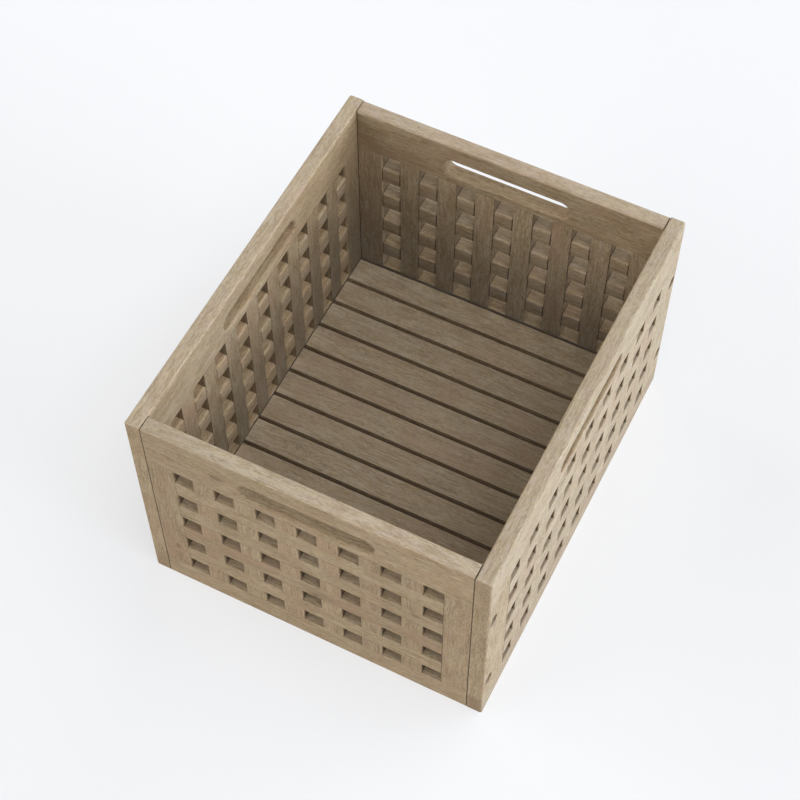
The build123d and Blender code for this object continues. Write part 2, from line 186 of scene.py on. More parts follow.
class TeakBinWood(bpy.types.PropertyGroup):
    """Colours and figure of the weathered teak."""

    pale_colour: bpy.props.FloatVectorProperty(
        name="Pale colour", description="Wide pale wood between the dark streaks",
        default=(0.435, 0.335, 0.206), subtype="COLOR", min=0, max=1,
    )
    dark_colour: bpy.props.FloatVectorProperty(
        name="Dark colour", description="Wood of the dark streaks",
        default=(0.236, 0.157, 0.076), subtype="COLOR", min=0, max=1,
    )
    pink_colour: bpy.props.FloatVectorProperty(
        name="Pink colour", description="Large pink-brown patches",
        default=(0.400, 0.262, 0.160), subtype="COLOR", min=0, max=1,
    )
    # Sun bleach and painted light: the faces that look up are made paler, partly for weathering and partly
    # for the light that falls on them
    sun_bleach: bpy.props.FloatVectorProperty(
        name="Sun bleach", description="How much paler each channel is where the wood faces the sky",
        default=(1.24, 1.36, 1.62), min=0, max=3,
    )
    # Painted light: the sides that face the lamps are made paler, fading where other panels block the light
    side_bleach: bpy.props.FloatVectorProperty(
        name="Side bleach", description="How much paler each channel is on a side that faces the sun",
        default=(1.17, 1.28, 1.50), min=0, max=3,
    )
    # Painted shade: the inside of the bin is made darker and greyer towards the floor
    dust_tint: bpy.props.FloatVectorProperty(
        name="Dust tint", description="How the grey dust inside the bin changes each channel",
        default=(0.76, 0.86, 1.06), min=0, max=3,
    )
    # Tint of the dirt in joints, and of the painted shade in recesses and on the front edges of the floor
    # slats
    dirt_colour: bpy.props.FloatVectorProperty(
        name="Dirt colour", description="Tint of the dirt in joints and recesses",
        default=(0.31, 0.29, 0.285), subtype="COLOR", min=0, max=1,
    )
    ring_spacing: bpy.props.FloatProperty(
        name="Ring spacing", description="Distance between the growth rings",
        default=0.0036, unit="LENGTH", min=0.0005,
    )
    streak_spacing: bpy.props.FloatProperty(
        name="Streak spacing", description="Usual width of the streaks across the grain",
        default=0.0026, unit="LENGTH", min=0.0005,
    )
    fibre_spacing: bpy.props.FloatProperty(
        name="Fibre spacing", description="Width of the finest fibres across the grain",
        default=0.0008, unit="LENGTH", min=0.0001,
    )
    # Width of the paler edges, real wear and painted highlight alike
    wear_width: bpy.props.FloatProperty(
        name="Wear width", description="How far from an edge the wood is rubbed paler",
        default=0.0022, unit="LENGTH", min=0.0001,
    )
    relief: bpy.props.FloatProperty(
        name="Relief", description="Height of the raised grain",
        default=0.00025, unit="LENGTH", min=0,
    )


class TeakBinFittings(bpy.types.PropertyGroup):
    """Colours of the dowels and the metal fittings."""

    dowel_colour: bpy.props.FloatVectorProperty(
        name="Dowel colour", description="Plain hardwood of the dowels",
        default=(0.55, 0.36, 0.19), subtype="COLOR", min=0, max=1,
    )
    steel_colour: bpy.props.FloatVectorProperty(
        name="Steel colour", description="Stainless steel of the bolts and screws",
        default=(0.58, 0.58, 0.57), subtype="COLOR", min=0, max=1,
    )
    brass_colour: bpy.props.FloatVectorProperty(
        name="Brass colour", description="Brass of the threaded inserts",
        default=(0.70, 0.50, 0.22), subtype="COLOR", min=0, max=1,
    )


class TeakBinStage(bpy.types.PropertyGroup):
    """Camera, floor and light of the stage."""

    camera_place: bpy.props.FloatVectorProperty(
        name="Camera place", description="Where the camera stands",
        default=(0.49957, -1.01856, 1.91736), subtype="TRANSLATION", unit="LENGTH",
    )
    camera_target: bpy.props.FloatVectorProperty(
        name="Camera target", description="The point that the camera looks at",
        default=(-0.01455, -0.00709, 0.15), subtype="TRANSLATION", unit="LENGTH",
    )
    camera_roll: bpy.props.FloatProperty(
        name="Camera roll", description="How far the camera is turned about its own view axis",
        default=math.radians(-0.2), subtype="ANGLE",
    )
    focal_length: bpy.props.FloatProperty(
        name="Focal length", description="Focal length of the lens, in millimetres on a 36 mm sensor",
        default=82.41, min=1,
    )
    floor_colour: bpy.props.FloatVectorProperty(
        name="Floor colour", description="Pale floor of the studio",
        default=(0.9, 0.905, 0.915), subtype="COLOR", min=0, max=1,
    )
    floor_glow: bpy.props.FloatProperty(
        name="Floor glow", description="How much of the seen floor is plain white instead of lit floor",
        default=0.5, subtype="FACTOR", min=0, max=1,
    )
    floor_size: bpy.props.FloatProperty(
        name="Floor size", description="Width of the studio floor",
        default=14.0, unit="LENGTH", min=1,
    )
    light_softness: bpy.props.FloatProperty(
        name="Light softness", description="Angle across which each light spreads",
        default=math.radians(40), subtype="ANGLE", min=0,
    )
    light_level: bpy.props.FloatProperty(
        name="Light level", description="Factor on the strength of all lights",
        default=1.0, min=0,
    )


# Where each soft light stands, as its compass angle from the right and its height angle in
# degrees, how brightly it lights a surface that faces it, and its tint
LIGHTS = {
    "low_right": ((0, 10), 0.68, (1.0, 1.08, 1.19)),
    "low_back_right": ((45, 10), 0.43, (1.0, 1.06, 1.15)),
    "high_back_right": ((45, 65), 0.17, (0.98, 1.0, 1.03)),
    "back": ((90, 26), 0.169, (1.0, 1.0, 1.0)),
    "left": ((180, 26), 0.305, (1.0, 1.0, 1.0)),
    "front_left": ((225, 26), 0.263, (1.0, 1.0, 1.0)),
    "low_front": ((270, 10), 0.175, (1.0, 1.0, 1.0)),
    "high_front_right": ((315, 65), 0.31, (0.98, 1.0, 1.03)),
}


class Graph:
    """Adds nodes to a shader tree, one call for each node, and takes sockets or plain values alike."""

    def __init__(self, tree):
        self.tree = tree

    def node(self, kind, inputs=(), **settings):
        node = self.tree.nodes.new(kind)
        for name, value in settings.items():
            setattr(node, name, value)
        pairs = inputs.items() if isinstance(inputs, dict) else enumerate(inputs)
        for key, value in pairs:
            self.feed(node.inputs[key], value)
        return node

    def feed(self, socket, value):
        if isinstance(value, bpy.types.NodeSocket):
            self.tree.links.new(value, socket)
        elif value is not None:
            socket.default_value = value

    def math(self, operation, *values, clamp=False):
        return self.node("ShaderNodeMath", values, operation=operation, use_clamp=clamp).outputs[0]

    def vector(self, operation, *values):
        node = self.node("ShaderNodeVectorMath", values, operation=operation)
        return node.outputs["Value" if operation in ("LENGTH", "DOT_PRODUCT") else "Vector"]

    def split(self, vector):
        return self.node("ShaderNodeSeparateXYZ", (vector,)).outputs

    def join(self, x, y, z):
        return self.node("ShaderNodeCombineXYZ", (x, y, z)).outputs[0]

    def noise(self, vector, detail=2.0, roughness=0.5):
        inputs = {"Vector": vector, "Scale": 1.0, "Detail": detail, "Roughness": roughness}
        return self.node("ShaderNodeTexNoise", inputs).outputs["Fac"]

    def smooth(self, value, low, high, low_result=0.0, high_result=1.0):
        """Runs smoothly from one result to the other while the value runs from low to high."""
        inputs = (value, low, high, low_result, high_result)
        return self.node("ShaderNodeMapRange", inputs, interpolation_type="SMOOTHSTEP").outputs[0]

    def mix(self, factor, first, second, blend="MIX"):
        node = self.node("ShaderNodeMix", data_type="RGBA", blend_type=blend)
        self.feed(node.inputs[0], factor)
        self.feed(node.inputs[6], first)
        self.feed(node.inputs[7], second)
        return node.outputs[2]


def colour(value):
    """A colour with the fourth channel that colour sockets need."""
    return (*value, 1.0)


def new_group(name, inputs, outputs):
    """An empty node group with the named sockets, and its input and output nodes."""
    group = bpy.data.node_groups.new(name, "ShaderNodeTree")
    for direction, sockets in (("INPUT", inputs), ("OUTPUT", outputs)):
        for socket_name, kind in sockets:
            group.interface.new_socket(socket_name, in_out=direction, socket_type="NodeSocket" + kind)
    return group, group.nodes.new("NodeGroupInput").outputs, group.nodes.new("NodeGroupOutput").inputs


def make_teak_group(wood):
    """The weathered teak as solid wood. Its grain runs along the board's own X axis.

    Growth rings are circles round a distant pith line, bent by slow waves. Streaks, fibres and
    pores are noises drawn out along the grain. Patches turn pink and end grain turns dark. Faces
    that look up are sun bleached and made paler as painted light, sides towards the lamps are made
    paler as painted light, and edges are rubbed pale with a painted highlight. Joints hold dirt,
    recesses hold painted shade, and painted shade darkens and greys the inside of the bin low down."""
    group, given, result = new_group(
        "weathered_teak",
        (("Board", "Vector"), ("Half Size", "Vector"), ("Shift", "Vector"), ("Pith", "Vector"),
         ("Tone", "Float"), ("Pinkness", "Float"), ("Knot", "Vector"), ("Knot Size", "Float"),
         ("End Grain", "Float"), ("Sun", "Float"), ("Side Sun", "Float"), ("Wear", "Float"),
         ("Dirt", "Float"), ("Dust", "Float")),
        (("Colour", "Color"), ("Roughness", "Float"), ("Normal", "Vector")),
    )
    g = Graph(group)
    place = g.vector("ADD", given["Board"], given["Shift"])

    # Slow waves that bend the rings and the streaks alike, and the swirl round a knot
    waves = g.node("ShaderNodeTexNoise", {
        "Vector": g.vector("MULTIPLY", place, WAVES), "Scale": 1.0, "Detail": 3.0,
        "Roughness": 0.5}).outputs["Color"]
    waves = g.vector("SUBTRACT", waves, (0.5, 0.5, 0.5))
    waves = g.vector("MULTIPLY", waves, (0.0, WAVE_HEIGHT, WAVE_HEIGHT))
    to_knot = g.vector("MULTIPLY", g.vector("SUBTRACT", given["Board"], given["Knot"]), KNOT_STRETCH)
    knot_distance = g.math("DIVIDE", g.vector("LENGTH", to_knot), given["Knot Size"])
    near_knot = g.math("EXPONENT", g.math("MULTIPLY", knot_distance, -0.9))
    knot_side = g.math("SIGN", g.split(to_knot)[1])
    swirl = g.math("MULTIPLY", given["Knot Size"], -1.1)
    swirl = g.math("MULTIPLY", g.math("MULTIPLY", near_knot, knot_side), swirl)
    bend = g.vector("ADD", waves, g.join(0.0, swirl, 0.0))
    bent = g.vector("ADD", place, bend)

    # Growth rings, each paler wood that darkens towards its outer line
    from_pith = g.vector("ADD", g.vector("SUBTRACT", given["Board"], given["Pith"]), bend)
    from_pith = g.vector("MULTIPLY", from_pith, PITH_STRETCH)
    rings = g.math("DIVIDE", g.vector("LENGTH", from_pith), wood.ring_spacing)
    uneven = g.noise(g.vector("MULTIPLY", bent, UNEVEN_RINGS), 2.0)
    ring = g.math("FRACT", g.math("ADD", rings, g.math("MULTIPLY", uneven, 2.4)))
    late_wood = g.math("MULTIPLY", g.smooth(ring, 0.35, 0.86), g.smooth(ring, 1.0, 0.88))

    # Streaks, fibres and pores along the grain, and the larger patches and clouds
    across = 1.0 / wood.streak_spacing
    streaks = g.noise(g.vector("MULTIPLY", bent, (STREAKS_ALONG, across, across)), 3.0, 0.62)
    fine = 1.0 / wood.fibre_spacing
    fibres = g.noise(g.vector("MULTIPLY", bent, (FIBRES_ALONG, fine, fine)), 2.0, 0.6)
    pores = g.noise(g.vector("MULTIPLY", bent, PORES), 1.0)
    pores = g.math("MULTIPLY", g.smooth(pores, 0.56, 0.68), g.smooth(streaks, 0.38, 0.58, 0.25, 1.0))
    patches = g.noise(g.vector("MULTIPLY", place, PATCHES), 4.0, 0.6)
    clouds = g.noise(g.vector("MULTIPLY", place, CLOUDS), 4.0, 0.6)

    # Share of dark wood at a point
    dark = g.math("MULTIPLY", late_wood, g.smooth(clouds, 0.35, 0.65, 0.08, 0.26))
    dark = g.math("ADD", dark, g.smooth(streaks, 0.28, 0.72, 0.03, 0.67))
    dark = g.math("ADD", dark, g.smooth(fibres, 0.25, 0.75, -0.50, 0.50))
    dark = g.math("ADD", dark, g.smooth(clouds, 0.30, 0.70, -0.14, 0.14), clamp=True)
    dark = g.math("ADD", dark, g.math("MULTIPLY", given["Sun"], g.math("MULTIPLY_ADD", dark, -0.3, 0.12)))
    shade = g.mix(dark, colour(wood.pale_colour), colour(wood.dark_colour))
    pink = g.math("MULTIPLY", g.smooth(patches, 0.40, 0.60), given["Pinkness"])
    mottle = g.noise(g.vector("MULTIPLY", place, MOTTLE), 2.0)
    calmed = g.math("MULTIPLY_ADD", given["Sun"], -0.5, 1.0)
    mottle = g.math("MULTIPLY", g.smooth(mottle, 0.35, 0.65, -0.2, 0.25), calmed)
    pink = g.math("ADD", pink, mottle, clamp=True)
    pink_shade = g.mix(g.math("MULTIPLY", dark, 0.75), colour(wood.pink_colour), colour(wood.dark_colour))
    shade = g.mix(pink, shade, pink_shade)
    yellow = g.noise(g.vector("MULTIPLY", place, YELLOWING), 3.0, 0.65)
    yellow = g.smooth(yellow, 0.30, 0.70, 0.93, 1.07)
    shade = g.mix(1.0, shade, g.join(1.0, 1.0, yellow), "MULTIPLY")
    knot_lines = g.smooth(g.math("SINE", g.math("MULTIPLY", knot_distance, 16.0)), -1.0, 1.0, 0.40, 0.75)
    knot_core = g.math("MULTIPLY", g.smooth(knot_distance, 1.05, 0.35), knot_lines)
    shade = g.mix(knot_core, shade, colour(KNOT_COLOUR))
    shade = g.mix(g.math("MULTIPLY", pores, 0.38), shade, colour(PORE_COLOUR))

    # End grain soaks up weather and is darker and redder. Sun bleach and painted light pale the faces that
    # look up, painted light pales the sides towards the lamps, and painted shade darkens and greys the
    # inside of the bin low down
    end_share = g.math("MULTIPLY", given["End Grain"], 0.4)
    shade = g.mix(end_share, shade, colour(END_GRAIN_TINT), "MULTIPLY")
    shade = g.mix(given["Sun"], shade, colour(wood.sun_bleach), "MULTIPLY")
    shade = g.mix(given["Side Sun"], shade, colour(wood.side_bleach), "MULTIPLY")
    shade = g.mix(given["Dust"], shade, colour(wood.dust_tint), "MULTIPLY")

    # The middle one of the three distances to the board's faces is the distance to an edge, which
    # is rubbed pale, as real wear and as a painted highlight
    inside = g.split(g.vector("SUBTRACT", given["Half Size"], g.vector("ABSOLUTE", given["Board"])))
    low = g.math("MINIMUM", inside[0], inside[1])
    high = g.math("MAXIMUM", inside[0], inside[1])
    edge = g.math("MAXIMUM", low, g.math("MINIMUM", high, inside[2]))
    rubbed = g.math("MULTIPLY", g.smooth(edge, wood.wear_width, 0.0), g.smooth(clouds, 0.35, 0.60, 0.15, 1.0))
    rubbed = g.math("MULTIPLY", rubbed, given["Wear"])
    shade = g.mix(rubbed, shade, colour(RUBBED_TINT), "MULTIPLY")
    # Dark dirt in the joints, and painted shade in recesses and along the front edges of the floor slats
    dirt = g.math("MULTIPLY", given["Dirt"], g.smooth(clouds, 0.25, 0.75, 1.1, 0.9), clamp=True)
    shade = g.mix(dirt, shade, colour(wood.dirt_colour), "MULTIPLY")
    shade = g.mix(1.0, shade, g.join(given["Tone"], given["Tone"], given["Tone"]), "MULTIPLY")

    relief = g.math("ADD", g.math("MULTIPLY", fibres, 0.55), g.math("MULTIPLY", late_wood, 0.25))
    relief = g.math("SUBTRACT", relief, g.math("MULTIPLY", pores, 0.5))
    bump = g.node("ShaderNodeBump", {"Strength": 0.8, "Distance": wood.relief, "Height": relief})
    g.feed(result["Colour"], shade)
    g.feed(result["Roughness"], g.smooth(streaks, 0.25, 0.75, 0.74, 0.62))
    g.feed(result["Normal"], bump.outputs[0])
    return group


def make_dirt_group():
    """Dirt and painted shade by place, each part a smooth step of a distance or a height: dark dirt lines
    along the joints between two panels, the lines and the painted recess shade that a piece asks for,
    and painted shade that darkens and greys the inside low down."""
    group, given, result = new_group(
        "joint_dirt",
        (("Place", "Vector"), ("Recess", "Float"), ("To Line", "Float"), ("Line", "Float")),
        (("Dirt", "Float"), ("Dust", "Float")),
    )
    g = Graph(group)
    joint_x = -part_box("front_left_stile")[0][0]
    joint_y = -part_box("front_left_stile")[1][1]
    outer = CAD_BOX[1]
    across = g.split(g.vector("ABSOLUTE", given["Place"]))
    beside = g.math("SUBTRACT", across[0], joint_x)
    before = g.math("SUBTRACT", joint_y, across[1])
    to_joint = g.vector("LENGTH", g.join(beside, g.math("MAXIMUM", before, 0.0), 0.0))
    piece_line = g.smooth(given["To Line"], *PIECE_LINE, 0.0, given["Line"])
    lines = g.math("MAXIMUM", g.smooth(to_joint, *PANEL_JOINT_LINE), piece_line)
    from_side = g.math("SUBTRACT", outer[0], across[0])
    from_sides = g.math("MINIMUM", from_side, g.math("SUBTRACT", outer[1], across[1]))
    height = g.split(given["Place"])[2]
    from_ends = g.math("MINIMUM", height, g.math("SUBTRACT", outer[2], height))
    within = g.smooth(g.math("MINIMUM", from_sides, from_ends), *UNDER_OUTER_SIDES)
    # Painted shade in recesses, inside the bin's outer sides
    recess = g.math("MULTIPLY", within, given["Recess"])
    # Painted shade inside the panels, darker and greyer towards the floor
    inside = g.smooth(beside, DUST_MARGIN, 0.0)
    inside = g.math("MULTIPLY", inside, g.smooth(before, -DUST_MARGIN, 0.0))
    g.feed(result["Dirt"], g.math("MAXIMUM", lines, recess))
    g.feed(result["Dust"], g.math("MULTIPLY", inside, g.smooth(height, *DUST_HEIGHTS)))
    return group


def board_frame(grain, thickness):
    """Turns the board's own axes, X along the grain and Z through the thickness, into the bin's."""
    return Matrix((grain, thickness.cross(grain), thickness)).transposed()


def size_in(turn, size):
    """The size of an upright box along the axes of a board frame that is turned by right angles."""
    return Vector([abs(value) for value in turn.transposed() @ size])


def board_look(name):
    """The look of one board: the values of LOOKS, those of its panel or kind, or steady draws made
    from its name.

    Upward bleach and light is sun bleach with painted light for faces that look up, and painted side
    light is for those that look to the lit side, each within its heights and lengths. Recess shade is
    painted shade inside windows, slots and gaps, and sill recess shade the same on faces that look up
    there. It deepens over the recess shade depths, measured from the board's face. Front edge shade is
    the width of a painted shade band instead of it. Line is the strength of the dark lines at joints,
    and line reach the share of a distance that counts towards them. Painted pillow light is the share
    of the tone that the top of a board gains and its foot loses, as painted light. Wear and highlight
    pales the edges as real wear and as a painted highlight, and inside shade is painted shade that
    darkens and greys the inside of the bin low down."""
    draw = random.Random(name)
    look = {
        "tone": draw.uniform(0.96, 1.04),
        "pinkness": draw.uniform(0.2, 0.65),
        "pith": draw.uniform(15, 70),
        "shift": Vector((draw.uniform(2, 40), draw.uniform(2, 40), draw.uniform(2, 40))),
        "knot": NO_KNOT,
        "upward_bleach": 1.0,
        "upward_bleach_heights": RIM_HEIGHTS,
        "fade": 0.0,
        "sunny_side": ALONG_X,
        "side_bleach": 0.0,
        "side_bleach_heights": ALL_HEIGHTS,
        "side_bleach_lengths": ALL_LENGTHS,
        "end_grain": 1.0,
        "wear": 0.7,
        "recess": 0.75,
        "sill_recess": 0.75,
        "recess_depths": (0.0008, 0.0045),
        "front_edge_dirt": 0.0,
        "line": 0.7,
        "line_reach": 0.7,
        "lines_all_round": False,
        "dust": 1.0,
        "side_dust": 1.0,
        "pillow": 0.0,
    }
    if name.startswith("right"):
        look.update(tone=0.97 * look["tone"], side_bleach=1.0, upward_bleach_heights=ALL_HEIGHTS,
                    recess=1.0, sill_recess=0.35, recess_depths=(0.0002, 0.0026))
    if name.startswith("front"):
        look.update(upward_bleach=0.35, upward_bleach_heights=ALL_HEIGHTS, recess=1.0, sill_recess=0.05)
    if name.startswith("back"):
        look.update(sunny_side=-ALONG_Y, side_bleach=0.5, side_bleach_heights=(0.1, 0.27),
                    recess=0.6, sill_recess=0.2, wear=0.8)
    if name.startswith("back_cross"):
        look.update(upward_bleach=0.5, upward_bleach_heights=(0.05, 0.20), line=1.0, line_reach=0.42,
                    lines_all_round=True, pillow=0.1)
    if name.startswith("left"):
        look.update(side_bleach=0.55, side_bleach_heights=(0.15, 0.27), side_bleach_lengths=(0.14, -0.04),
                    recess=0.8, sill_recess=0.15, dust=0.85, side_dust=0.85)
    if name.startswith("left_cross"):
        look.update(side_bleach=0.5, side_bleach_heights=ALL_HEIGHTS, side_bleach_lengths=ALL_LENGTHS,
                    side_dust=0.0, pillow=0.08)
    if name.startswith("floor"):
        look.update(tone=0.865 * look["tone"], upward_bleach=0.66, upward_bleach_heights=ALL_HEIGHTS,
                    front_edge_dirt=0.0017, dust=0.0, side_dust=0.0)
    if name.endswith("top_rail"):
        look.update(upward_bleach=1.0, upward_bleach_heights=RIM_HEIGHTS, recess=0.25, sill_recess=0.25)
    if name.endswith("floor_cleat"):
        look.update(side_bleach=0.0, recess=0.1, sill_recess=0.1)
    look.update(LOOKS.get(name, {}))
    return look


class Board(Graph):
    """The shader tree of one board, with its look and size and the sockets that say where on the
    board a point lies and which way it faces."""

    def __init__(self, tree, name, grain, thickness):
        super().__init__(tree)
        self.look = board_look(name)
        self.grain = grain
        self.turn = board_frame(grain, thickness)
        self.low, self.high = (Vector(corner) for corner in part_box(name))
        self.middle, self.size = (self.low + self.high) / 2, self.high - self.low
        surface = self.node("ShaderNodeTexCoord").outputs
        self.place, self.normal = surface["Object"], surface["Normal"]
        self.upward = self.split(self.normal)[2]
        self.height = self.split(self.place)[2]
        self.shift = tuple(self.look["shift"])
        self.tone, self.pinkness = self.look["tone"], self.look["pinkness"]

    def lay_out(self, bars, row, bar_width):
        """Takes a place in the bin to the board's own axes. In a row of equal bars the place is
        first folded onto a bar in the middle of the row. A bar's number is its place along the row
        divided by the pitch and rounded down, and it also draws the bar's cut, tone and pinkness."""
        place, size = self.place, self.size
        if bars > 1:
            along = self.vector("DOT_PRODUCT", place, tuple(row))
            pitch = (row.dot(size) - bar_width) / (bars - 1)
            bay_start = row.dot(self.low) + bar_width / 2 - pitch / 2
            number = self.math("DIVIDE", self.math("SUBTRACT", along, bay_start), pitch)
            number = self.math("FLOOR", number)
            first_middle = bay_start + pitch / 2 - row.dot(self.middle)
            bar_middle = self.math("MULTIPLY_ADD", number, pitch, first_middle)
            to_bar = self.join(*(self.math("MULTIPLY", bar_middle, part) for part in row))
            place = self.vector("SUBTRACT", place, to_bar)
            size = size + row * (bar_width - row.dot(size))
            self.draw_bar(number)
        self.board = self.node(
            "ShaderNodeMapping",
            {"Vector": place, "Location": self.middle, "Rotation": self.turn.to_euler()},
            vector_type="TEXTURE").outputs[0]
        self.on_board = self.split(self.board)
        self.half_size = size_in(self.turn, size) / 2

    def draw_bar(self, number):
        """Draws the cut, tone and pinkness of one bar of a row from its number."""
        chance = self.node("ShaderNodeTexWhiteNoise", noise_dimensions="1D")
        self.feed(chance.inputs["W"], self.math("ADD", number, self.look["shift"].x))
        drawn = chance.outputs["Color"]
        self.shift = self.vector("MULTIPLY", drawn, BAR_SHIFT)
        for_tone, for_pinkness = self.split(drawn)[1], self.split(drawn)[2]
        least_tone = self.look["tone"] - BAR_TONE_SPREAD / 2
        self.tone = self.math("MULTIPLY_ADD", for_tone, BAR_TONE_SPREAD, least_tone)
        self.pinkness = self.math("MULTIPLY_ADD", for_pinkness, BAR_PINKNESS_SPREAD, BAR_PINKNESS_LEAST)

    def shade_tone(self):
        """The tone, which may rise along its grain, and from the foot of the board to its top as painted
        light.
        """
        tone = self.tone
        pillow, fade = self.look["pillow"], self.look["fade"]
        # Painted light: the top of the board lighter and its foot darker
        if pillow:
            swell = self.smooth(self.height, self.low.z, self.high.z, 1 - pillow, 1 + pillow)
            tone = self.math("MULTIPLY", swell, tone)
        if fade:
            change = self.math("MULTIPLY_ADD", self.on_board[0], fade / self.half_size.x, 1.0)
            tone = self.math("MULTIPLY", change, tone)
        return tone

    def bleach(self):
        """How far the faces that look up take sun bleach and painted light, and those on the lit side painted
        light.
        """
        look = self.look
        upward = self.smooth(self.upward, *SQUARE_ON, 0.0, look["upward_bleach"])
        upward = self.math("MULTIPLY", upward, self.smooth(self.height, *look["upward_bleach_heights"]))
        sunlit = self.vector("DOT_PRODUCT", self.normal, tuple(look["sunny_side"]))
        side = self.smooth(sunlit, *SQUARE_ON, 0.0, look["side_bleach"])
        side = self.math("MULTIPLY", side, self.smooth(self.height, *look["side_bleach_heights"]))
        along_bin = self.split(self.place)[1]
        side = self.math("MULTIPLY", side, self.smooth(along_bin, *look["side_bleach_lengths"]))
        return upward, side

    def nearest_line(self, shoulder, inner_side, crossed_by):
        """Distance to the nearest dark line: at the shoulders of tenons, along the edges of the
        inner face, or beside the upright slats that cross the piece."""
        to_line = FAR
        if shoulder:
            to_line = self.math("ABSOLUTE", self.on_board[0])
            to_line = self.math("SUBTRACT", to_line, self.half_size.x - shoulder)
            to_line = self.math("ABSOLUTE", to_line)
        if inner_side:
            to_edge = self.math("ABSOLUTE", self.on_board[1])
            to_edge = self.math("SUBTRACT", self.half_size.y, to_edge)
            behind = self.math("MULTIPLY", self.on_board[2], inner_side)
            behind = self.math("SUBTRACT", self.half_size.z, behind)
            behind = self.math("SUBTRACT", behind, INNER_LINE_DEPTH)
            to_line = self.math("MINIMUM", to_line, self.math("MAXIMUM", to_edge, behind))
        if crossed_by:
            to_line = self.math("MINIMUM", to_line, self.beside_bars(*crossed_by))
        return to_line

    def beside_bars(self, panel, bar_width):
        """Distance to the sides of the nearest upright slat of the panel, and far where the face
        shows no line: the outward one, or else all faces that don't look up."""
        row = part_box(panel + "_upright_slats")
        first, last = (Vector(corner).dot(self.grain) for corner in row)
        pitch = (last - first - bar_width) / (UPRIGHT_SLATS[panel] - 1)
        along = self.vector("DOT_PRODUCT", self.place, tuple(self.grain))
        along = self.math("SUBTRACT", along, first + bar_width / 2)
        along = self.math("ADD", along, SPARE_PITCHES * pitch)
        from_bar = self.math("PINGPONG", along, pitch / 2)
        beside = self.math("ABSOLUTE", self.math("SUBTRACT", from_bar, bar_width / 2))
        if self.look["lines_all_round"]:
            outward = self.vector("DOT_PRODUCT", self.normal, tuple(OUTWARD[panel]))
            hidden = self.smooth(outward, *LINE_FADES_OUTWARD, 0.0, FAR)
        else:
            hidden = self.smooth(self.upward, *LINE_FADES_OFF_TOP, 0.0, FAR)
        return self.math("ADD", self.math("MULTIPLY", beside, self.look["line_reach"]), hidden)

    def recess_dirt(self):
        """Painted shade that deepens from the board's face inwards, or a painted shade band on its front
        edge.
        """
        look = self.look
        if look["front_edge_dirt"]:
            width = look["front_edge_dirt"]
            to_front = self.math("ADD", self.half_size.y, self.on_board[1])
            band = self.smooth(to_front, width, width / 2, 0.0, EDGE_DIRT_SHARE)
            return self.math("MULTIPLY", band, self.smooth(self.upward, *EDGE_DIRT_HOLDS))
        depth = self.math("ABSOLUTE", self.on_board[2])
        depth = self.math("SUBTRACT", self.half_size.z, depth)
        share = self.smooth(self.upward, *SQUARE_ON, look["recess"], look["sill_recess"])
        return self.math("MULTIPLY", share, self.smooth(depth, *look["recess_depths"]))


def wood_material(context, name, grain, thickness, shoulder=0.0, inner_side=0, bars=1, row=None,
                  bar_width=0.0, crossed_by=None):
    """Gives one piece its own cut of the teak, with the grain along its length.

    A shoulder is how far the tenons at the piece's ends reach, so a dark joint line shows there.
    The inner side, 1 or -1 along the thickness, is the face whose long edges show dark lines.
    A piece crossed by upright slats, given as their panel and width, shows dark lines beside them.
    Bars, row and bar width tell of a node that holds a row of equal bars."""
    teak = bpy.data.node_groups.get("weathered_teak") or make_teak_group(context.scene.teak_bin_wood)
    dirt = bpy.data.node_groups.get("joint_dirt") or make_dirt_group()
    material = bpy.data.materials.new(name + "_teak")
    material.use_nodes = True
    shader = material.node_tree.nodes["Principled BSDF"]
    g = Board(material.node_tree, name, grain, thickness)
    g.lay_out(bars, row, bar_width)
    look = g.look
    end_grain = g.math("ABSOLUTE", g.vector("DOT_PRODUCT", g.normal, tuple(grain)))
    end_grain = g.smooth(end_grain, *END_ON, 0.0, look["end_grain"])
    upward_sun, side_sun = g.bleach()
    to_line = g.nearest_line(shoulder, inner_side, crossed_by)
    soiling = g.node("ShaderNodeGroup", (g.place, g.recess_dirt(), to_line, look["line"]),
                     node_tree=dirt).outputs
    # Painted shade, darker and greyer low inside the bin
    dust = g.smooth(g.upward, *DUST_HOLDS, look["side_dust"], look["dust"])
    dust = g.math("MULTIPLY", soiling["Dust"], dust)
    pith_angle = math.radians(look["pith"])
    pith = (0.0, PITH_DISTANCE * math.cos(pith_angle), -PITH_DISTANCE * math.sin(pith_angle))
    knot_x, knot_y, knot_size = look["knot"]
    figure = g.node("ShaderNodeGroup", node_tree=teak)
    for key, value in {
        "Board": g.board, "Half Size": g.half_size, "Shift": g.shift, "Pith": pith,
        "Tone": g.shade_tone(), "Pinkness": g.pinkness, "Knot": (knot_x, knot_y, 0.0),
        "Knot Size": knot_size, "End Grain": end_grain, "Sun": upward_sun, "Side Sun": side_sun,
        "Wear": look["wear"], "Dirt": soiling["Dirt"], "Dust": dust,
    }.items():
        g.feed(figure.inputs[key], value)
    g.feed(shader.inputs["Base Color"], figure.outputs["Colour"])
    g.feed(shader.inputs["Roughness"], figure.outputs["Roughness"])
    g.feed(shader.inputs["Normal"], figure.outputs["Normal"])
    shader.inputs["Specular IOR Level"].default_value = TEAK_SPECULAR
    dress(name, material)


def dress(name, material):
    """Gives a node of the frame its material."""
    if name not in NODES:
        raise RuntimeError("the frame has no piece named " + name)
    slots = NODES[name].data.materials
    slots.clear()
    slots.append(material)


def panel_axes(panel):
    """Directions along a panel and through its thickness."""
    return (ALONG_X, ALONG_Y) if panel in ("front", "back") else (ALONG_Y, ALONG_X)


def slat_width():
    """The face width that all slats of the lattice share, measured on a cross slat."""
    low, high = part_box("front_cross_slat_1")
    return high[2] - low[2]


